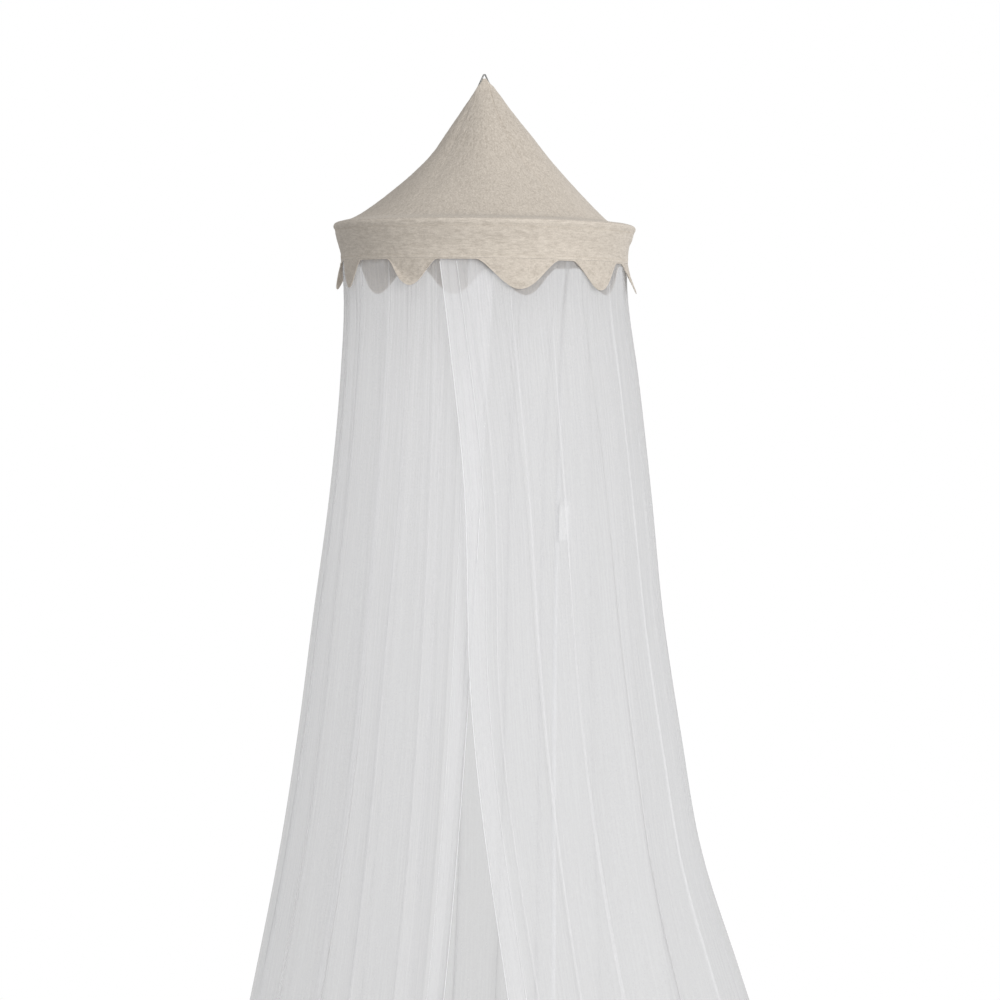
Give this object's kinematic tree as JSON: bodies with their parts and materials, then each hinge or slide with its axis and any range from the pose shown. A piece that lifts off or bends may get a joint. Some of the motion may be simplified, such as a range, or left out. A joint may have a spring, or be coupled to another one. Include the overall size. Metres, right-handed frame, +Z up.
{
  "type": "crib canopy with hoop",
  "caption": "Pointed gauze roof over a hoop with a scalloped border, hung from a wire ring, with a long sheer net skirt that is open at the front.",
  "frame": {"origin": "inside top of the hanging ring, where the ceiling hook bears, on the hoop's axis", "axes": "+Z up, towards the ceiling; the front, where the net opens, faces -Y; +X is to the right of someone who looks at the front"},
  "size_m": [1.297, 0.9502, 2.3028],
  "materials": {
    "ring_wire": "satin wire",
    "hoop_tube": "plain tube, hidden in the cloth",
    "gauze": "crinkled beige double gauze",
    "net": "fine white net, sheer",
    "label_tape": "plain white tape"
  },
  "bodies": {
    "root": {"hanging_ring": "ring_wire", "hoop": "hoop_tube", "roof": "gauze", "valance_band": "gauze", "scallop_border": "gauze", "net_skirt": "net", "care_label": "label_tape"}
  },
  "joints": []
}
